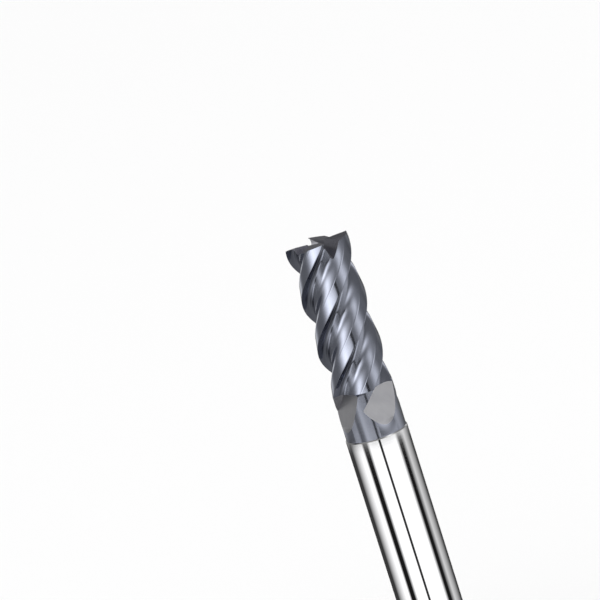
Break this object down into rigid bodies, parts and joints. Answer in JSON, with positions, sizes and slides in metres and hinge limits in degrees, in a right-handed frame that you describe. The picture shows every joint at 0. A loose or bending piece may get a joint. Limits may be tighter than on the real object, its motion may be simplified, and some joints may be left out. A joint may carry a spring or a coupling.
{
  "type": "end mill",
  "caption": "Square-end milling cutter with a plain round shank, a short neck and right-hand helical cutting teeth.",
  "frame": {"origin": "centre of the shank's flat end face, the end that goes into the holder", "axes": "+Z along the tool's axis, from the shank end to the cutting tip; at the tip one cutting corner lies 11.5 degrees from +X towards +Y, and the others follow every 90 degrees"},
  "size_m": [0.01, 0.01, 0.075],
  "materials": {
    "bare_carbide": "ground and polished",
    "coated_carbide": "dark blue-grey hard coating, satin"
  },
  "bodies": {
    "root": {"shank": "bare_carbide", "neck": "coated_carbide", "core": "coated_carbide", "tooth_1": "coated_carbide", "tooth_2": "coated_carbide", "tooth_3": "coated_carbide", "tooth_4": "coated_carbide"}
  },
  "joints": []
}
